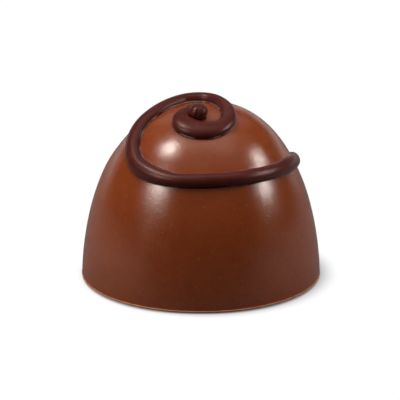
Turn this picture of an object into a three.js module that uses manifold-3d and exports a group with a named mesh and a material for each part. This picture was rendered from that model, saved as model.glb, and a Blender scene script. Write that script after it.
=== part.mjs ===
// Chocolate praline: a moulded milk chocolate dome, closed underneath by a thin
// layer, with a swirl of dark chocolate piped over its top.
// Millimetres, +Z up. The origin is the middle of the flat underside and the front is -Y.
import * as THREE from "three";
import { mergeVertices } from "three/addons/utils/BufferGeometryUtils.js";
import Module from "manifold-3d";

// Driving dimensions of the moulded dome
const FOOT_RADIUS = 15;
const DOME_HEIGHT = 21.85;
// Exponents of the dome's outline: 2 and 2 would be an ellipse
const WALL_EXPONENT = 2.67;
const CROWN_EXPONENT = 1.74;

// The closing layer, whose scraped edge shows as a fine lip round the foot
const LIP_THICKNESS = 0.3;
const LIP_OVERHANG = 0.06;
const LIP_ROUNDING = 0.1;

// Room kept between two pieces that touch
const GAP = 0.05;

// The piped swirl starts behind its ball and is a chain of arcs, seen from above.
// Each stretch has a length, the angle it turns through, and the rope's width and
// height where the stretch ends.
const SWIRL_START = { x: 0.62, y: -1.58, heading: 213, width: 1.3, height: 1.1 };
const STRETCHES = [
  { length: 3.13, turn: 9, width: 2.2, height: 1.1 },
  { length: 2.2, turn: 90, width: 2.9, height: 1.0 },
  { length: 7.0, turn: 131, width: 2.1, height: 0.8 },
  { length: 6.0, turn: 51, width: 1.6, height: 1.1 },
  { length: 4.2, turn: 82, width: 1.5, height: 1.05 },
  { length: 5.2, turn: 3, width: 2.2, height: 0.95 },
  { length: 7.8, turn: 92, width: 2.3, height: 0.95 },
  { length: 6.2, turn: 41.2, width: 1.8, height: 0.95 },
  { length: 15.7, turn: 78, width: 1.9, height: 0.75 },
  { length: 15.1, turn: 62, width: 1.6, height: 0.85 },
];
const ROPE_END_ROUNDING = 1.2;
// How much of the rope's height its widest line lies above the dome
const ROPE_LIFT = 0.22;

// The drop that the piping began with, a little flattened
const BALL = { x: -0.3, y: -3.9, radius: 1.16, flatness: 0.83, lift: 0.8 };

// Facets
const DOME_SIDES = 72;
const DOME_RINGS = 26;
const LIP_CORNER_STEPS = 2;
const ROPE_STEP = 0.75;
const ROPE_SIDES = 16;
const BALL_SIDES = 20;
const BALL_RINGS = 14;

// The rope's ends don't shrink below this, and points closer than this are one
const THINNEST_END = 0.05;
const SAME_POINT = 1e-4;
const QUARTER_TURN = Math.PI / 2;

const wasm = await Module();
wasm.setup();

// Turns a closed geometry into a solid that can be joined and cut.
function solidFrom(geometry) {
  const bare = geometry.clone();
  bare.deleteAttribute("normal");
  bare.deleteAttribute("uv");
  const merged = mergeVertices(bare, SAME_POINT);
  const mesh = new wasm.Mesh({
    numProp: 3,
    vertProperties: merged.attributes.position.array,
    triVerts: new Uint32Array(merged.index.array),
  });
  return new wasm.Manifold(mesh);
}

// Turns a solid back into a geometry.
function geometryFrom(solid) {
  const mesh = solid.getMesh();
  const geometry = new THREE.BufferGeometry();
  geometry.setAttribute("position", new THREE.BufferAttribute(mesh.vertProperties, 3));
  geometry.setIndex(new THREE.BufferAttribute(mesh.triVerts, 1));
  geometry.computeVertexNormals();
  return geometry;
}

// Spins an outline of [radius, height] pairs, drawn from bottom to top, about the Z axis.
function spun(outline) {
  const points = outline.map(([radius, height]) => new THREE.Vector2(radius, height));
  return new THREE.LatheGeometry(points, DOME_SIDES).rotateX(QUARTER_TURN);
}

// The dome's height above the underside at a distance from its axis:
// (radius / FOOT_RADIUS) ^ WALL_EXPONENT + (height / DOME_HEIGHT) ^ CROWN_EXPONENT = 1.
function domeHeight(radius) {
  const wall = Math.pow(radius / FOOT_RADIUS, WALL_EXPONENT);
  return DOME_HEIGHT * Math.pow(1 - wall, 1 / CROWN_EXPONENT);
}

// The outward direction of the dome's surface at a point of it, from the same formula.
function domeNormal(x, y, z) {
  const radius = Math.hypot(x, y);
  const outward =
    (WALL_EXPONENT / FOOT_RADIUS) * Math.pow(radius / FOOT_RADIUS, WALL_EXPONENT - 1);
  const upward =
    (CROWN_EXPONENT / DOME_HEIGHT) * Math.pow(z / DOME_HEIGHT, CROWN_EXPONENT - 1);
  const side = outward / Math.max(radius, SAME_POINT);
  return new THREE.Vector3(side * x, side * y, upward).normalize();
}

// The dome's outline from its foot to its apex, moved outwards by a margin.
// The rings are closer together near the foot and the apex, where it curves most.
function domeOutline(margin, footHeight) {
  const outline = [];
  for (let ring = 0; ring <= DOME_RINGS; ring += 1) {
    const angle = QUARTER_TURN * (ring / DOME_RINGS);
    const radius = FOOT_RADIUS * Math.pow(Math.cos(angle), 2 / WALL_EXPONENT);
    const height = DOME_HEIGHT * Math.pow(Math.sin(angle), 2 / CROWN_EXPONENT);
    outline.push([radius, Math.max(height, footHeight)]);
  }
  const moved = outline.map(([radius, height]) => {
    const normal = domeNormal(radius, 0, height);
    return [radius + margin * normal.x, height + margin * normal.z];
  });
  moved[DOME_RINGS][0] = 0;
  return [[0, footHeight], ...moved];
}

// The moulded dome is solid to its foot.
function shellGeometry() {
  return spun(domeOutline(0, LIP_THICKNESS + GAP));
}

// The closing layer runs under the whole dome, and its edge is a little rounded.
function baseGeometry() {
  const rim = FOOT_RADIUS + LIP_OVERHANG;
  const outline = [[0, 0]];
  const corners = [
    { height: LIP_ROUNDING, from: -QUARTER_TURN },
    { height: LIP_THICKNESS - LIP_ROUNDING, from: 0 },
  ];
  for (const corner of corners) {
    for (let step = 0; step <= LIP_CORNER_STEPS; step += 1) {
      const angle = corner.from + QUARTER_TURN * (step / LIP_CORNER_STEPS);
      const radius = rim - LIP_ROUNDING + LIP_ROUNDING * Math.cos(angle);
      outline.push([radius, corner.height + LIP_ROUNDING * Math.sin(angle)]);
    }
  }
  outline.push([0, LIP_THICKNESS]);
  return spun(outline);
}

// Eases from one value to the next without a kink.
function eased(from, to, share) {
  return from + (to - from) * share * share * (3 - 2 * share);
}

// The rope's stations, a step apart: where it lies in plan, and its width and height.
function ropeStations() {
  const stations = [];
  const total = STRETCHES.reduce((sum, stretch) => sum + stretch.length, 0);
  const steps = Math.round(total / ROPE_STEP);
  const step = total / steps;
  let { x, y, heading, width, height } = SWIRL_START;
  let index = 0;
  let done = 0;
  for (let i = 0; i <= steps; i += 1) {
    while (index < STRETCHES.length - 1 && i * step > done + STRETCHES[index].length) {
      done += STRETCHES[index].length;
      heading += STRETCHES[index].turn;
      width = STRETCHES[index].width;
      height = STRETCHES[index].height;
      index += 1;
    }
    const stretch = STRETCHES[index];
    const share = Math.min((i * step - done) / stretch.length, 1);
    stations.push({
      x,
      y,
      along: i * step,
      fromEnd: total - i * step,
      width: eased(width, stretch.width, share),
      height: eased(height, stretch.height, share),
    });
    // The next step runs in the direction that the rope has halfway along it
    const turned = stretch.turn * (share + step / stretch.length / 2);
    const direction = THREE.MathUtils.degToRad(heading + turned);
    x += step * Math.cos(direction);
    y += step * Math.sin(direction);
  }
  return stations;
}

// The rope is an elliptical section carried along its stations and laid on the dome.
// It rounds off at both ends.
function ropeGeometry() {
  const stations = ropeStations();
  const middles = stations.map(({ x, y }) => {
    return new THREE.Vector3(x, y, domeHeight(Math.hypot(x, y)));
  });
  const positions = [];
  stations.forEach((station, i) => {
    const before = middles[Math.max(i - 1, 0)];
    const after = middles[Math.min(i + 1, middles.length - 1)];
    const tangent = after.clone().sub(before).normalize();
    const normal = domeNormal(middles[i].x, middles[i].y, middles[i].z);
    const side = tangent.clone().cross(normal).normalize();
    const nearEnd = Math.min(station.along, station.fromEnd) / ROPE_END_ROUNDING;
    const rounding = nearEnd < 1 ? Math.sqrt(1 - (1 - nearEnd) ** 2) : 1;
    const halfWidth = Math.max((rounding * station.width) / 2, THINNEST_END);
    const height = Math.max(rounding * station.height, THINNEST_END);
    const lift = ROPE_LIFT * height;
    for (let k = 0; k < ROPE_SIDES; k += 1) {
      const angle = (2 * Math.PI * k) / ROPE_SIDES;
      const point = middles[i]
        .clone()
        .addScaledVector(side, halfWidth * Math.cos(angle))
        .addScaledVector(normal, lift + (height - lift) * Math.sin(angle));
      positions.push(point.x, point.y, point.z);
    }
  });
  const index = [];
  for (let i = 0; i < stations.length - 1; i += 1) {
    for (let k = 0; k < ROPE_SIDES; k += 1) {
      const here = i * ROPE_SIDES + k;
      const beside = i * ROPE_SIDES + ((k + 1) % ROPE_SIDES);
      index.push(here, here + ROPE_SIDES, beside);
      index.push(beside, here + ROPE_SIDES, beside + ROPE_SIDES);
    }
  }
  const last = (stations.length - 1) * ROPE_SIDES;
  for (let k = 1; k < ROPE_SIDES - 1; k += 1) {
    index.push(0, k, k + 1);
    index.push(last, last + k + 1, last + k);
  }
  const geometry = new THREE.BufferGeometry();
  geometry.setAttribute("position", new THREE.Float32BufferAttribute(positions, 3));
  geometry.setIndex(index);
  return geometry;
}

// The ball stands on the dome inside the swirl's first turn. It is a sphere flattened along
// the dome's normal.
function ballGeometry() {
  const ground = domeHeight(Math.hypot(BALL.x, BALL.y));
  const normal = domeNormal(BALL.x, BALL.y, ground);
  const centre = new THREE.Vector3(BALL.x, BALL.y, ground).addScaledVector(normal, BALL.lift);
  const upright = new THREE.Vector3(0, 1, 0);
  const leaning = new THREE.Quaternion().setFromUnitVectors(upright, normal);
  const sphere = new THREE.SphereGeometry(BALL.radius, BALL_SIDES, BALL_RINGS);
  sphere.scale(1, BALL.flatness, 1);
  sphere.applyQuaternion(leaning);
  return sphere.translate(centre.x, centre.y, centre.z);
}

// Rope and ball are one piece, with the dome cut out from under them.
function swirlGeometry() {
  const dome = solidFrom(spun(domeOutline(GAP, 0)));
  const piping = solidFrom(ropeGeometry()).add(solidFrom(ballGeometry()));
  return geometryFrom(piping.subtract(dome));
}

const milkChocolate = { color: 0x7a4329, roughness: 0.36, metalness: 0 };
const closingChocolate = { color: 0x9a6240, roughness: 0.5, metalness: 0 };
const darkChocolate = { color: 0x3c1b14, roughness: 0.3, metalness: 0 };

// A named mesh with its own material.
function piece(name, geometry, finish) {
  const mesh = new THREE.Mesh(geometry, new THREE.MeshStandardMaterial(finish));
  mesh.name = name;
  return mesh;
}

const praline = new THREE.Group();
praline.add(piece("shell", shellGeometry(), milkChocolate));
praline.add(piece("base", baseGeometry(), closingChocolate));
praline.add(piece("swirl", swirlGeometry(), darkChocolate));

export default praline;
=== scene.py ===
import bpy
import numpy as np
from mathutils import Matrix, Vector


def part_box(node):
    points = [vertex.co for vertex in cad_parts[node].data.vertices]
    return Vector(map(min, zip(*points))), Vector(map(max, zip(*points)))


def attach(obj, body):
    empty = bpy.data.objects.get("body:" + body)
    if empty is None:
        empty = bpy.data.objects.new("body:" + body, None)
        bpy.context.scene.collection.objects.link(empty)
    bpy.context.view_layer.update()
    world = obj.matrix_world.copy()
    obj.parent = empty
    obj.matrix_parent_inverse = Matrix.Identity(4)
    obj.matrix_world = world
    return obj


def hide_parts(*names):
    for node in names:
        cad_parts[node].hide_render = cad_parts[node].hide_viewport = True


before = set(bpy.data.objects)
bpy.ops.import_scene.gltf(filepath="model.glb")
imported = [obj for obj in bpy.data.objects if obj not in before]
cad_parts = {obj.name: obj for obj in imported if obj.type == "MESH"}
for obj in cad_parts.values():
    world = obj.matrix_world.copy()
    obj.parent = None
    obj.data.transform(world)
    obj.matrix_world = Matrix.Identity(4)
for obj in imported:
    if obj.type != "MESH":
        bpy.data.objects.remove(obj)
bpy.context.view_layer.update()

# The camera
# A long lens in front of the praline, looking down on it by 18 degrees. It is aimed at a
# point close to the dome's axis, a little under half its height.
MM = 0.001
CAMERA_HEIGHT = 113.04 * MM
CAMERA_IN_FRONT = 313.42 * MM
AIM = Vector((-0.120, 0, 9.533)) * MM
LENS_MM = 237.0
SENSOR_MM = 36.0

camera = bpy.data.objects.new("camera", bpy.data.cameras.new("camera"))
camera.data.lens = LENS_MM
camera.data.sensor_width = SENSOR_MM
camera.location = Vector((0, -CAMERA_IN_FRONT, CAMERA_HEIGHT))
camera.rotation_euler = (AIM - camera.location).to_track_quat("-Z", "Y").to_euler()
bpy.context.scene.collection.objects.link(camera)
bpy.context.scene.camera = camera

# The dome
# Milk chocolate cast in a round mould and turned out, so its skin is smooth and glossy.
# The outline is a superellipse from a wide foot to a rounded crown. Its left shoulder came
# out a little flat.
FOOT_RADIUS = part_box("shell")[1].x
DOME_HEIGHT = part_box("shell")[1].z
DOME_SUNK = 0.02 * MM
DOME_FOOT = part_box("base")[1].z - DOME_SUNK
WALL_EXPONENT = 2.67
CROWN_EXPONENT = 1.74
FOOT_ROUNDING = 0.12 * MM
DOME_SIDES = 400
DOME_RINGS = 150
FOOT_RINGS = 8
SHOULDER_DENT = 0.31 * MM
SHOULDER_AZIMUTH = np.radians(165)
SHOULDER_HEIGHT = 18.0 * MM
SHOULDER_SPREAD = 3.3 * MM
WALL_BULGE = 0.03 * MM
BULGE_HEIGHT = 10.0 * MM
BULGE_SPREAD = 4.0 * MM
MOULD_WAVES = 0.012 * MM
WAVE_TURNS = 3
WAVE_RISE = 1.9 * MM
CROSS_WAVE_TURNS = 5
CROSS_WAVE_RISE = 1.3 * MM
CROSS_WAVE_SHIFT = 1
SWELL_RISE = 2.7 * MM
# Clouds, mottling, the specks' spacing, sheen and grain are in mm, and a speck's core and
# edge are shares of the spacing
MILK_DEEP = (0.300, 0.0590, 0.0125, 1)
MILK_LIGHT = (0.335, 0.0690, 0.0155, 1)
MILK_CLOUDS = 4.0
CLOUD_RANGE = (0.3, 0.7)
MILK_MOTTLE = (0.380, 0.0850, 0.0225, 1)
MOTTLE_SIZE = 0.45
MOTTLE_RANGE = (0.35, 0.65)
MOTTLE_SHARE = 0.35
MILK_SPECK = (0.58, 0.32, 0.21, 1)
SPECK_SPACING = 1.05
SPECK_CORE = 0.035
SPECK_EDGE = 0.075
SPECK_SHARE = 0.6
MILK_ROUGHNESS = (0.17, 0.21)
MILK_SHEEN_SIZE = 0.6
MILK_IOR = 1.65
MILK_SHINE = 1.0
MILK_GLOSS = (1.0, 0.88, 0.80, 1)
MILK_GRAIN = 0.20
MILK_GRAIN_HEIGHT = 0.023 * MM
LIGHT_DEPTH = 0.6 * MM
LIGHT_REACH = (1.0, 0.5, 0.35)
# A mix node has a pair of inputs for each kind of value, and these are its colour sockets
FIRST_COLOUR = 6
SECOND_COLOUR = 7
MIXED_COLOUR = 2


def dome_height(radius):
    """Height of the dome over a radius: (radius / FOOT_RADIUS) ** WALL_EXPONENT
    + (height / DOME_HEIGHT) ** CROWN_EXPONENT = 1."""
    wall = (radius / FOOT_RADIUS) ** WALL_EXPONENT
    return DOME_HEIGHT * (1 - wall) ** (1 / CROWN_EXPONENT)


def dome_normal(points):
    """Outward unit normals of the dome at points off its axis: the gradient of the same formula."""
    radius = np.hypot(points[..., 0], points[..., 1])
    outward = WALL_EXPONENT / FOOT_RADIUS * (radius / FOOT_RADIUS) ** (WALL_EXPONENT - 1)
    upward = CROWN_EXPONENT / DOME_HEIGHT * (points[..., 2] / DOME_HEIGHT) ** (CROWN_EXPONENT - 1)
    side = outward / radius
    gradient = np.stack([side * points[..., 0], side * points[..., 1], upward], axis=-1)
    return gradient / np.linalg.norm(gradient, axis=-1, keepdims=True)


def all_round(sides):
    """Even azimuths all the way round the axis, as one row."""
    return np.linspace(0, 2 * np.pi, sides, endpoint=False)[None, :]


def about_axis(radius, azimuth, height):
    """Points about the upright axis: radius cos(azimuth), radius sin(azimuth) and height."""
    return np.stack(np.broadcast_arrays(radius * np.cos(azimuth), radius * np.sin(azimuth), height), -1)


def bell(across, above, width, length):
    """A smooth hump of height 1: e ** -((across / width) ** 2 + (above / length) ** 2)."""
    return np.exp(-((across / width) ** 2) - (above / length) ** 2)


def along_ring(radius, azimuth, middle):
    """How far points of a ring lie from its middle azimuth, by the shorter way round."""
    return radius * np.angle(np.exp(1j * (azimuth - middle)))


def dome_rings():
    """Rings of the dome from its foot to just under the apex. At the climb angle t the radius
    is FOOT_RADIUS cos(t) ** (2 / WALL_EXPONENT) and the height DOME_HEIGHT sin(t) ** (2 /
    CROWN_EXPONENT). The skin then moves along its normal: in by a bell at the shoulder, out by
    a bell in height all round the wall, and both ways by the mould's waves. Those are two sines
    that wind up the dome in opposite senses, times a sine of the height, and they fade towards
    the axis."""
    lowest = np.arcsin((DOME_FOOT / DOME_HEIGHT) ** (CROWN_EXPONENT / 2))
    climb = np.linspace(lowest, np.pi / 2, DOME_RINGS + 1)[:-1, None]
    azimuth = all_round(DOME_SIDES)
    radius = FOOT_RADIUS * np.cos(climb) ** (2 / WALL_EXPONENT)
    height = DOME_HEIGHT * np.sin(climb) ** (2 / CROWN_EXPONENT)
    points = about_axis(radius, azimuth, height)
    across = along_ring(radius, azimuth, SHOULDER_AZIMUTH)
    dent = bell(across, height - SHOULDER_HEIGHT, SHOULDER_SPREAD, SHOULDER_SPREAD)
    wave = np.sin(WAVE_TURNS * azimuth + height / WAVE_RISE)
    cross_wave = np.sin(CROSS_WAVE_TURNS * azimuth - height / CROSS_WAVE_RISE + CROSS_WAVE_SHIFT)
    waves = (wave + cross_wave) * np.sin(height / SWELL_RISE) * (radius / FOOT_RADIUS)
    bulge = bell(0, height - BULGE_HEIGHT, BULGE_SPREAD, BULGE_SPREAD)
    moved = WALL_BULGE * bulge - SHOULDER_DENT * dent + MOULD_WAVES * waves
    return points + moved[..., None] * dome_normal(points)


def rounded_foot(ring):
    """Rings under the dome's lowest one, in a quarter circle that turns in to the foot's plane."""
    angle = np.linspace(-np.pi / 2, 0, FOOT_RINGS, endpoint=False)[:, None, None]
    outward = ring / np.linalg.norm(ring[:, :2], axis=1, keepdims=True) * [1, 1, 0]
    inward = -FOOT_ROUNDING * (1 - np.cos(angle)) * outward
    return ring + inward + FOOT_ROUNDING * np.sin(angle) * [0, 0, 1]


def skinned(name, rings, first_pole, last_pole):
    """A closed, smooth piece from rings, an array of ring, point round it and x, y, z. Quads
    join each ring to the next, and a fan closes each end at its pole."""
    count, around = rings.shape[:2]
    here = np.arange(around)
    beside = (here + 1) % around
    start = around * np.arange(count - 1)[:, None]
    sides = np.stack([start + here, start + beside, start + around + beside, start + around + here], -1)
    top = around * (count - 1)
    first_fan = np.stack([beside, here, np.full(around, around * count)], -1)
    last_fan = np.stack([top + here, top + beside, np.full(around, around * count + 1)], -1)
    vertices = np.concatenate([rings.reshape(-1, 3), [first_pole, last_pole]])
    faces = sides.reshape(-1, 4).tolist() + first_fan.tolist() + last_fan.tolist()
    mesh = bpy.data.meshes.new(name)
    mesh.from_pydata(vertices.tolist(), [], faces)
    mesh.polygons.foreach_set("use_smooth", np.ones(len(faces), bool))
    mesh.update()
    piece = bpy.data.objects.new(name, mesh)
    bpy.context.scene.collection.objects.link(piece)
    return piece


def fill_inputs(tree, node, inputs):
    """Sets a node's inputs, each to a value or to another node's output."""
    for name, value in inputs.items():
        if isinstance(value, bpy.types.NodeSocket):
            tree.links.new(value, node.inputs[name])
        else:
            node.inputs[name].default_value = value


def add_node(tree, kind, inputs, **settings):
    """One shader node with its settings and inputs."""
    node = tree.nodes.new(kind)
    for name, value in settings.items():
        setattr(node, name, value)
    fill_inputs(tree, node, inputs)
    return node


def new_material(name):
    """A material with a bare glossy shader: its node tree, the shader, and a position in mm."""
    material = bpy.data.materials.new(name)
    material.use_nodes = True
    tree = material.node_tree
    shader = tree.nodes["Principled BSDF"]
    place = add_node(tree, "ShaderNodeTexCoord", {}).outputs["Object"]
    in_mm = add_node(tree, "ShaderNodeVectorMath", {0: place, 1: (1 / MM,) * 3}, operation="MULTIPLY")
    return material, tree, shader, in_mm.outputs["Vector"]


def noise(tree, place, size_mm, detail=2.0, roughness=0.5):
    """Soft noise from 0 to 1 whose blobs are about size_mm across."""
    inputs = {"Vector": place, "Scale": 1 / size_mm, "Detail": detail, "Roughness": roughness}
    return add_node(tree, "ShaderNodeTexNoise", inputs).outputs["Fac"]


def remap(tree, value, low, high, to_low=0.0, to_high=1.0):
    """Maps low..high to to_low..to_high, held at both ends. Each end is a value or an output."""
    inputs = {"Value": value, "From Min": low, "From Max": high, "To Min": to_low, "To Max": to_high}
    return add_node(tree, "ShaderNodeMapRange", inputs).outputs["Result"]


def clouds(tree, place, size_mm, detail=2.0, low=0.0, high=1.0):
    """The middle of the noise's range, spread so that it fills low to high."""
    return remap(tree, noise(tree, place, size_mm, detail), *CLOUD_RANGE, low, high)


def blend_colours(tree, share, from_colour, to_colour):
    """A mix of two colours, or of colour outputs, by a share."""
    inputs = {"Factor": share, FIRST_COLOUR: from_colour, SECOND_COLOUR: to_colour}
    return add_node(tree, "ShaderNodeMix", inputs, data_type="RGBA").outputs[MIXED_COLOUR]


def reckon(tree, operation, *values):
    """One sum on values or outputs, such as ADD or MULTIPLY."""
    return add_node(tree, "ShaderNodeMath", dict(enumerate(values)), operation=operation).outputs[0]


def grain(tree, place, size_mm, height, detail=2.0):
    """A normal roughened by fine noise of the given height."""
    relief = noise(tree, place, size_mm, detail, roughness=0.6)
    return add_node(tree, "ShaderNodeBump", {"Height": relief, "Distance": height}).outputs["Normal"]


def milk_chocolate():
    """Warm brown with faint clouds and mottling, small paler specks, and a fine grain that
    breaks up its gloss. Light goes a little way into it."""
    material, tree, shader, place = new_material("milk_chocolate")
    colour = blend_colours(tree, clouds(tree, place, MILK_CLOUDS, detail=4.0), MILK_DEEP, MILK_LIGHT)
    mottling = noise(tree, place, MOTTLE_SIZE, detail=3.0)
    mottling = remap(tree, mottling, *MOTTLE_RANGE, 0.0, MOTTLE_SHARE)
    colour = blend_colours(tree, mottling, colour, MILK_MOTTLE)
    cells = add_node(tree, "ShaderNodeTexVoronoi", {"Vector": place, "Scale": 1 / SPECK_SPACING})
    specks = remap(tree, cells.outputs["Distance"], SPECK_CORE, SPECK_EDGE, SPECK_SHARE, 0.0)
    fill_inputs(tree, shader, {
        "Base Color": blend_colours(tree, specks, colour, MILK_SPECK),
        "Roughness": clouds(tree, place, MILK_SHEEN_SIZE, 2.0, *MILK_ROUGHNESS),
        "IOR": MILK_IOR,
        "Specular IOR Level": MILK_SHINE,
        "Specular Tint": MILK_GLOSS,
        "Subsurface Weight": 1.0,
        "Subsurface Radius": LIGHT_REACH,
        "Subsurface Scale": LIGHT_DEPTH,
        "Normal": grain(tree, place, MILK_GRAIN, MILK_GRAIN_HEIGHT),
    })
    return material


wall = dome_rings()
wall = np.concatenate([rounded_foot(wall[0]), wall])
dome = skinned("dome", wall, (0, 0, DOME_FOOT - FOOT_ROUNDING), (0, 0, DOME_HEIGHT))
dome.data.materials.append(milk_chocolate())
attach(dome, "root")
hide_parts("shell")

# The closing layer
# Milk chocolate spread over the upturned mould and scraped level. Its cut edge shows as a fine,
# slightly ragged lip round the foot, duller than the cast skin above and paler, partly in its
# own colour and partly as a painted highlight along its lit edge.
LIP_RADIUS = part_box("base")[1].x
LIP_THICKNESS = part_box("base")[1].z
LIP_ROUNDING = 0.05 * MM
LIP_UNDERCUT = 0.17 * MM
LIP_RAGGEDNESS = 0.035 * MM
# Each wave of the ragged edge: how often it goes round, its share, and its shift in radians
LIP_WAVES = ((7, 1.0, 0.4), (19, 0.7, 2.1), (43, 0.5, 0.0))
LIP_SIDES = 720
LIP_CORNER_RINGS = 6
# Both lip colours are raised partly as a painted highlight of the lip's lit edge
LIP_DEEP = (0.58, 0.20, 0.085, 1)
LIP_LIGHT = (0.76, 0.31, 0.150, 1)
LIP_CLOUDS = 0.8
LIP_ROUGHNESS = 0.5
LIP_SHINE = 0.4
LIP_GRAIN = 0.2
LIP_GRAIN_HEIGHT = 0.02 * MM


def lip_rings():
    """Rings from the flat underside round the lip to its upper face: a slab whose corners are
    quarter circles, a large one under the edge and a small one over it. The edge wanders in
    by a sum of sines of the azimuth."""
    azimuth = all_round(LIP_SIDES)
    waves = sum(share * np.sin(turns * azimuth + shift) for turns, share, shift in LIP_WAVES)
    ragged = 0.5 + 0.5 * waves / sum(share for turns, share, shift in LIP_WAVES)
    rim = LIP_RADIUS - LIP_RAGGEDNESS * ragged
    under = np.linspace(-np.pi / 2, 0, LIP_CORNER_RINGS)[:, None]
    over = np.linspace(0, np.pi / 2, LIP_CORNER_RINGS)[:, None]
    inward = [LIP_UNDERCUT * (1 - np.cos(under)), LIP_ROUNDING * (1 - np.cos(over))]
    lower = LIP_UNDERCUT * (1 + np.sin(under))
    upper = LIP_THICKNESS - LIP_ROUNDING * (1 - np.sin(over))
    return about_axis(rim - np.concatenate(inward), azimuth, np.concatenate([lower, upper]))


def scraped_chocolate():
    """Paler and duller than the dome, with small clouds and a fine grain. The paleness is partly
    its own colour and partly a painted highlight along the lit edge.
    """
    material, tree, shader, place = new_material("scraped_chocolate")
    fill_inputs(tree, shader, {
        "Base Color": blend_colours(tree, clouds(tree, place, LIP_CLOUDS, detail=4.0), LIP_DEEP, LIP_LIGHT),
        "Roughness": LIP_ROUGHNESS,
        "Specular IOR Level": LIP_SHINE,
        "Normal": grain(tree, place, LIP_GRAIN, LIP_GRAIN_HEIGHT, detail=4.0),
    })
    return material


lip = skinned("closing_layer", lip_rings(), (0, 0, 0), (0, 0, LIP_THICKNESS))
lip.data.materials.append(scraped_chocolate())
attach(lip, "root")
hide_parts("base")

# The swirl
# Dark chocolate piped through a small round nozzle: a fat curl round the crown that winds
# outwards, crosses the back, swings round the left and runs over the front to the right.
# It flattened where it landed, and its foot spread a little on the dome.
SWIRL_START = (0.62 * MM, -1.58 * MM)
SWIRL_START_HEADING = 213
SWIRL_START_SECTION = (1.3, 1.1)
# Length in mm, turn in degrees, then the width and height in mm where the stretch ends
STRETCHES = np.array([
    (3.13, 9, 2.2, 1.1),
    (2.2, 90, 2.9, 1.0),
    (7.0, 131, 2.1, 0.8),
    (6.0, 51, 1.6, 1.10),
    (4.2, 82, 1.5, 1.05),
    (5.2, 3, 2.2, 0.95),
    (7.8, 92, 2.3, 0.95),
    (6.2, 41.2, 1.8, 0.95),
    (15.7, 77.5, 1.9, 0.75),
    (15.1, 62, 1.6, 0.85),
])
ROPE_STEP = 0.08 * MM
ROPE_END_ROUNDING = 1.2 * MM
ROPE_END_SHARE = 0.0005
# Each wave of the rope's width: its length over a radian, its share, and its shift in radians
ROPE_WAVES = ((1.1 * MM, 1.0, 0.0), (0.47 * MM, 0.6, 1.3))
ROPE_UNEVENNESS = 0.015
ROPE_CROWN_POINTS = 34
ROPE_ROOT_DEPTH = 0.40 * MM
# The crown's lift is a share of the height, and the neck and root draw in by or to a share of
# half the width
ROPE_LIFT = 0.22
NECK_IN = 0.08
NECK_POINTS = 4
ROOT_NARROWING = 0.4
# The bead's middle and the neck's foot lie out and up by so many bead radii
BEAD_RADIUS = 0.044 * MM
BEAD_OUT = 0.3
BEAD_UP = 0.7
BEAD_TOP = 1.6
BEAD_ARC = (120, -60)
BEAD_POINTS = 7
DARK_DEEP = (0.072, 0.0115, 0.0072, 1)
DARK_LIGHT = (0.098, 0.0170, 0.0115, 1)
DARK_CLOUDS = 1.2
# The pale colour of patches along the bead is a painted glint
PAINTED_GLINT = (0.30, 0.25, 0.24, 1)
GLINT_PATCH_SIZE = 2.2
GLINT_PATCH_EDGE = (0.54, 0.40)
DARK_SHINE = 0.62
DARK_GLOSS = (1.0, 0.62, 0.57, 1)
ROPE_ROUGHNESS = 0.285
BEAD_ROUGHNESS = 0.14
DARK_GRAIN = 0.18
DARK_GRAIN_HEIGHT = 0.024 * MM


def rope_path():
    """Points on the dome along the swirl's middle line, with its width and height. The heading
    turns steadily along each stretch, and the place is the running sum of the steps. Width
    and height ease from one stretch's end to the next by 3 t ** 2 - 2 t ** 3."""
    lengths = STRETCHES[:, 0] * MM
    ends = np.concatenate([[0], np.cumsum(lengths)])
    headings = SWIRL_START_HEADING + np.concatenate([[0], np.cumsum(STRETCHES[:, 1])])
    sections = np.vstack([SWIRL_START_SECTION, STRETCHES[:, 2:]]) * MM
    along = np.linspace(0, ends[-1], int(ends[-1] / ROPE_STEP) + 1)
    middles = (along[1:] + along[:-1]) / 2
    heading = np.radians(np.interp(middles, ends, headings))
    steps = np.stack([np.cos(heading), np.sin(heading)], -1) * np.diff(along)[:, None]
    plan = SWIRL_START + np.concatenate([[(0, 0)], np.cumsum(steps, axis=0)])
    stretch = np.clip(np.searchsorted(ends, along, side="right") - 1, 0, len(lengths) - 1)
    share = (along - ends[stretch]) / lengths[stretch]
    eased = (share ** 2 * (3 - 2 * share))[:, None]
    section = sections[stretch] + (sections[stretch + 1] - sections[stretch]) * eased
    height = dome_height(np.hypot(plan[:, 0], plan[:, 1]))
    return along, np.column_stack([plan, height]), section[:, 0], section[:, 1]


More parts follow.
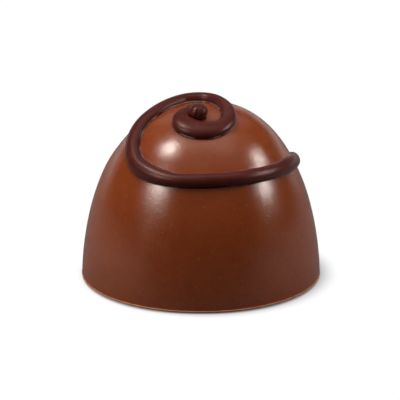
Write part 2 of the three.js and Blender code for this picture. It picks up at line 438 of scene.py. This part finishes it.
def rope_section(width, height):
    """Points round the rope's section as across and up, for each station, and how much each
    point belongs to its bead. The width is measured over the two beads. The crown is an
    ellipse whose widest line is lifted off the dome. Under it each side draws in along a
    quarter sine to a neck, and then a small round bead runs along the dome. The rest is a
    flat root inside the dome."""
    lift = (ROPE_LIFT * height)[:, None]
    bead = np.minimum(BEAD_RADIUS, lift / 2)
    half = np.maximum((width / 2)[:, None] - bead * (1 + BEAD_OUT), 0)
    crown = np.radians(np.linspace(0, 180, ROPE_CROWN_POINTS))[None, :]
    crown_across = half * np.cos(crown)
    crown_up = lift + (height[:, None] - lift) * np.sin(crown)
    down = np.linspace(0, 1, NECK_POINTS + 2)[None, 1:-1]
    neck_across = half * (1 - NECK_IN * np.sin(down * np.pi / 2))
    neck_up = lift + (BEAD_TOP * bead - lift) * down
    turn = np.radians(np.linspace(*BEAD_ARC, BEAD_POINTS))[None, :]
    side_across = np.hstack([neck_across, half + bead * (BEAD_OUT + np.cos(turn))])
    side_up = np.hstack([neck_up, bead * (BEAD_UP + np.sin(turn))])
    root_across = half * [[1.0, ROOT_NARROWING]]
    root_up = np.full_like(root_across, -ROPE_ROOT_DEPTH)
    left = np.hstack([-side_across, -root_across])
    right = np.hstack([root_across[:, ::-1], side_across[:, ::-1]])
    across = np.hstack([crown_across, left, right])
    up = np.hstack([crown_up, side_up, root_up, root_up, side_up[:, ::-1]])
    on_side = np.concatenate([np.zeros(NECK_POINTS), np.ones(BEAD_POINTS)])
    on_root = np.zeros(2 * root_across.shape[1])
    on_bead = np.concatenate([np.zeros(ROPE_CROWN_POINTS), on_side, on_root, on_side[::-1]])
    return across, up, on_bead


def rope_rings():
    """The section carried along the path: across goes along the dome, up along its normal. Both
    ends round off as a circle does."""
    along, middles, width, height = rope_path()
    tangent = np.gradient(middles, axis=0)
    tangent /= np.linalg.norm(tangent, axis=1, keepdims=True)
    normal = dome_normal(middles)
    side = np.cross(normal, tangent)
    side /= np.linalg.norm(side, axis=1, keepdims=True)
    wander = sum(share * np.sin(along / length + shift) for length, share, shift in ROPE_WAVES)
    near_end = np.clip(np.minimum(along, along[-1] - along) / ROPE_END_ROUNDING, ROPE_END_SHARE, 1)
    rounding = np.sqrt(1 - (1 - near_end) ** 2)
    uneven_width = width * rounding * (1 + ROPE_UNEVENNESS * wander)
    across, up, on_bead = rope_section(uneven_width, height * rounding)
    rings = middles[:, None] + across[..., None] * side[:, None] + up[..., None] * normal[:, None]
    return rings, middles[0], middles[-1], on_bead


def dark_chocolate(name, roughness):
    """Almost black brown, with a grain that breaks up its gloss. The bead along its foot set
    smooth and shiny, and in patches along it a pale colour is a painted glint, where the mesh's bead
    attribute is 1."""
    material, tree, shader, place = new_material(name)
    colour = blend_colours(tree, clouds(tree, place, DARK_CLOUDS, detail=3.0), DARK_DEEP, DARK_LIGHT)
    on_bead = add_node(tree, "ShaderNodeAttribute", {}, attribute_name="bead").outputs["Fac"]
    # Patches along the bead where a painted glint lightens its colour
    glint_patches = remap(tree, noise(tree, place, GLINT_PATCH_SIZE), *GLINT_PATCH_EDGE)
    fill_inputs(tree, shader, {
        "Base Color": blend_colours(tree, reckon(tree, "MULTIPLY", on_bead, glint_patches), colour, PAINTED_GLINT),
        "Roughness": remap(tree, on_bead, 0, 1, roughness, BEAD_ROUGHNESS),
        "Specular IOR Level": DARK_SHINE,
        "Specular Tint": DARK_GLOSS,
        "Normal": grain(tree, place, DARK_GRAIN, DARK_GRAIN_HEIGHT),
    })
    return material


def mark_bead(piece, on_bead):
    """Stores how much of each vertex is bead, from 0 to 1, one value for each in mesh order."""
    stored = piece.data.attributes.new("bead", "FLOAT", "POINT")
    stored.data.foreach_set("value", on_bead)


rings, first_end, last_end, on_bead = rope_rings()
rope = skinned("rope", rings, first_end, last_end)
mark_bead(rope, np.append(np.tile(on_bead, len(rings)), [0, 0]))
rope.data.materials.append(dark_chocolate("satin_dark_chocolate", ROPE_ROUGHNESS))
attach(rope, "root")
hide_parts("swirl")

# The ball
# The drop of dark chocolate that the piping began with. It stands a little flattened on the
# dome inside the curl, on a foot that spread thinly under it. A short crease in its front
# shows where the nozzle pulled away.
BALL_PLACE = (-0.3 * MM, -3.9 * MM)
BALL_RADIUS = 1.16 * MM
BALL_FLATNESS = 0.83
BALL_LIFT = 0.80 * MM
BALL_SIDES = 192
BALL_RINGS = 80
CREASE_AZIMUTH = np.radians(-97)
CREASE_HEIGHT = 0.20 * MM
CREASE_WIDTH = 0.18 * MM
CREASE_LENGTH = 0.45 * MM
CREASE_DEPTH = 0.15 * MM
BALL_ROUGHNESS = 0.22
BALL_FOOT_RADIUS = 1.0 * MM
BALL_FOOT_RINGS = 12


def ball_rings():
    """Rings of a flattened sphere about its own axis. The crease is a bell in azimuth and
    height that draws the skin in."""
    polar = np.linspace(0, np.pi, BALL_RINGS + 2)[1:-1, None]
    azimuth = all_round(BALL_SIDES)
    height = -BALL_RADIUS * BALL_FLATNESS * np.cos(polar)
    radius = BALL_RADIUS * np.sin(polar)
    across = along_ring(radius, azimuth, CREASE_AZIMUTH)
    crease = bell(across, height - CREASE_HEIGHT, CREASE_WIDTH, CREASE_LENGTH)
    return about_axis(radius - CREASE_DEPTH * crease, azimuth, height)


def ball_foot_rings():
    """Rings of a thin round foot, a disc whose edge is a half circle as thick as it is."""
    angle = np.linspace(-np.pi / 2, np.pi / 2, BALL_FOOT_RINGS)[:, None]
    radius = BALL_FOOT_RADIUS - BEAD_RADIUS * (1 - np.cos(angle))
    return about_axis(radius, all_round(BALL_SIDES), BEAD_RADIUS * np.sin(angle))


def stood_on_dome(points, lift):
    """Moves points from about the origin to the ball's place. The axis they turn about goes
    along the dome's normal, sideways stays level, and lift is how far off the dome they go."""
    ground = np.array([*BALL_PLACE, dome_height(np.hypot(*BALL_PLACE))])
    upward = dome_normal(ground)
    sideways = np.cross([0, 1, 0], upward)
    sideways /= np.linalg.norm(sideways)
    turned = np.stack([sideways, np.cross(upward, sideways), upward])
    return ground + lift * upward + points @ turned


def drop_piece(name, rings, half_height, lift):
    """A closed piece stood on the dome at the ball's place. Its poles lie half_height from its middle."""
    poles = stood_on_dome(np.array([(0, 0, -half_height), (0, 0, half_height)]), lift)
    return skinned(name, stood_on_dome(rings, lift), *poles)


ball = drop_piece("ball", ball_rings(), BALL_RADIUS * BALL_FLATNESS, BALL_LIFT)
ball_foot = drop_piece("ball_foot", ball_foot_rings(), BEAD_RADIUS, BEAD_UP * BEAD_RADIUS)
glossy_dark = dark_chocolate("glossy_dark_chocolate", BALL_ROUGHNESS)
# The ball's foot is all bead, so patches of it carry the painted glint too
for piece, is_bead in ((ball, 0.0), (ball_foot, 1.0)):
    mark_bead(piece, np.full(len(piece.data.vertices), is_bead))
    piece.data.materials.append(glossy_dark)
    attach(piece, "root")
    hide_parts("swirl")

# The studio
# A white table in a dim room. Small soft boxes stand to the left and right of the praline and
# broad ones over and behind it, all mirrored in its gloss, as the table and the room are.
# Three broad fills only light it.
FLOOR_HALF = 1.5
PAPER_WHITE = 1.02
SHADE_LEFT = 0.12
SHADE_RIGHT = 0.52
SHADE_REACH_LEFT = 1.2 * MM
SHADE_REACH_RIGHT = 2.9 * MM
CONTACT_SHADE = 0.8
CONTACT_FRONT = 0.18 * MM
CONTACT_SIDE = 1.38 * MM
MIRRORED_ASIDE = 0.8
MIRRORED_DEPTHS = (-22 * MM, 25 * MM)
MIRRORED_LIGHT = (0.035, 0.20)
CEILING_RISE = (0.5, 0.95)
CEILING_LIGHT = (0.004, 0.18)
WALLS_BACKWARD = (0.56, 0.76)
WALLS_RISE = (0.02, 0.22)
WALLS_LIGHT = 0.75
LIGHT_AIM = Vector((0, 0, DOME_HEIGHT / 2))


def softbox(name, azimuth, elevation, wide, high, brightness, distance=0.4, mirrored=True):
    """A soft light aimed at the dome, whose width and height are the degrees that it fills as
    the dome sees it. Azimuth 0 is the front, and it grows to the right."""
    light = bpy.data.lights.new(name, "AREA")
    light.shape = "RECTANGLE"
    light.size = 2 * distance * np.tan(np.radians(wide / 2))
    light.size_y = 2 * distance * np.tan(np.radians(high / 2))
    light.energy = brightness * np.pi * light.size * light.size_y
    stand = bpy.data.objects.new(name, light)
    turned, raised = np.radians(azimuth), np.radians(elevation)
    flat = np.cos(raised)
    direction = Vector((np.sin(turned) * flat, -np.cos(turned) * flat, np.sin(raised)))
    stand.location = LIGHT_AIM + distance * direction
    stand.rotation_euler = (-direction).to_track_quat("-Z", "Y").to_euler()
    stand.visible_camera = False
    stand.visible_glossy = mirrored
    bpy.context.scene.collection.objects.link(stand)


def white_paper():
    """The table's paper. The camera sees it even and white, with a shade round the praline that
    fades out softly and is deeper and wider on the right, and with a dark line of contact along
    the front, which is widest about halfway to each side. Mirrored in the praline, it grows
    lighter from the front to the back and to the sides."""
    paper = bpy.data.materials.new("white_table")
    paper.use_nodes = True
    tree = paper.node_tree
    tree.nodes.clear()
    spot = add_node(tree, "ShaderNodeTexCoord", {}).outputs["Object"]
    along = add_node(tree, "ShaderNodeSeparateXYZ", {"Vector": spot}).outputs
    out = add_node(tree, "ShaderNodeVectorMath", {0: spot}, operation="LENGTH").outputs["Value"]
    to_right = reckon(tree, "DIVIDE", along["X"], out)
    reach = remap(tree, to_right, -1, 1, SHADE_REACH_LEFT, SHADE_REACH_RIGHT)
    deepest = remap(tree, to_right, -1, 0, SHADE_LEFT, SHADE_RIGHT)
    clear = reckon(tree, "DIVIDE", reckon(tree, "SUBTRACT", out, LIP_RADIUS), reach)
    near = reckon(tree, "POWER", remap(tree, clear, 0, 1, 1, 0), 2)
    open_light = remap(tree, reckon(tree, "MULTIPLY", near, deepest), 0, 1, PAPER_WHITE, 0)
    to_front = remap(tree, reckon(tree, "DIVIDE", along["Y"], out), -1, 0, 1, 0)
    aside = reckon(tree, "ABSOLUTE", along["X"])
    widest = remap(tree, reckon(tree, "DIVIDE", aside, out), 0, 1, CONTACT_FRONT, CONTACT_SIDE)
    line = reckon(tree, "MULTIPLY", reckon(tree, "POWER", to_front, 2), widest)
    edge = reckon(tree, "ADD", line, LIP_RADIUS)
    contact = remap(tree, out, LIP_RADIUS - LIP_UNDERCUT, edge, 1 - CONTACT_SHADE, 1)
    paper_light = reckon(tree, "MULTIPLY", open_light, contact)
    depth = reckon(tree, "MULTIPLY_ADD", aside, MIRRORED_ASIDE, along["Y"])
    glow = remap(tree, depth, *MIRRORED_DEPTHS, *MIRRORED_LIGHT)
    seen = add_node(tree, "ShaderNodeEmission", {"Color": paper_light}).outputs[0]
    mirrored = add_node(tree, "ShaderNodeEmission", {"Color": glow}).outputs[0]
    to_camera = add_node(tree, "ShaderNodeLightPath", {}).outputs["Is Camera Ray"]
    mixed = add_node(tree, "ShaderNodeMixShader", {0: to_camera, 1: mirrored, 2: seen}).outputs[0]
    add_node(tree, "ShaderNodeOutputMaterial", {"Surface": mixed})
    return paper


def dim_room():
    """The room round the table. The camera sees plain white. The praline mirrors a ceiling that
    grows lighter towards its middle, and light walls low down behind it."""
    room = bpy.data.worlds.new("surround")
    room.use_nodes = True
    tree = room.node_tree
    tree.nodes.clear()
    direction = add_node(tree, "ShaderNodeTexCoord", {}).outputs["Generated"]
    towards = add_node(tree, "ShaderNodeSeparateXYZ", {"Vector": direction}).outputs
    ceiling = remap(tree, towards["Z"], *CEILING_RISE, *CEILING_LIGHT)
    backward = remap(tree, towards["Y"], *WALLS_BACKWARD, 0, WALLS_LIGHT)
    walls = reckon(tree, "MULTIPLY", backward, remap(tree, towards["Z"], *WALLS_RISE, 1, 0))
    light = reckon(tree, "MAXIMUM", ceiling, walls)
    mirrored = add_node(tree, "ShaderNodeBackground", {"Color": light}).outputs[0]
    white = {"Color": (1, 1, 1, 1), "Strength": PAPER_WHITE}
    seen = add_node(tree, "ShaderNodeBackground", white).outputs[0]
    to_camera = add_node(tree, "ShaderNodeLightPath", {}).outputs["Is Camera Ray"]
    mixed = add_node(tree, "ShaderNodeMixShader", {0: to_camera, 1: mirrored, 2: seen}).outputs[0]
    add_node(tree, "ShaderNodeOutputWorld", {"Surface": mixed})
    return room


# Each highlight has a small bright box, a middle one and a faint halo
softbox("left_high", -80, 58.5, 7, 6, 25.0)
softbox("left_high_middle", -80, 58, 14, 12, 4.8)
softbox("left_high_halo", -80, 58, 24, 20, 0.8)
softbox("left_low", -56, 31, 14, 6, 9.5)
softbox("left_low_middle", -56, 30, 19, 11, 2.7)
softbox("left_low_halo", -56, 30, 28, 18, 0.5)
softbox("left_strip", -57, 15, 12, 14, 0.35)
softbox("right_high", 98, 33, 6, 6, 21.0)
softbox("right_high_middle", 98, 33, 13, 11, 2.3)
softbox("right_high_halo", 98, 33, 19, 19, 0.3)
softbox("right_low", 84, 22, 8, 5, 20.0)
softbox("right_low_middle", 84, 22, 15, 10, 2.6)
softbox("right_low_halo", 84, 22, 24, 18, 0.55)
softbox("overhead", 0, 84, 62, 30, 0.33, distance=0.09)
softbox("behind", 180, 38, 50, 24, 0.22)
softbox("left_fill", -100, 28, 50, 40, 1.6, mirrored=False)
softbox("right_fill", 105, 28, 50, 40, 0.8, mirrored=False)
softbox("overhead_fill", 0, 78, 50, 50, 1.75, mirrored=False)

floor_mesh = bpy.data.meshes.new("table")
corners = [(x * FLOOR_HALF, y * FLOOR_HALF, 0) for x, y in ((-1, -1), (1, -1), (1, 1), (-1, 1))]
floor_mesh.from_pydata(corners, [], [(0, 1, 2, 3)])
floor_mesh.materials.append(white_paper())
table = bpy.data.objects.new("table", floor_mesh)
bpy.context.scene.collection.objects.link(table)

bpy.context.scene.world = dim_room()
bpy.context.scene.view_settings.view_transform = "Standard"
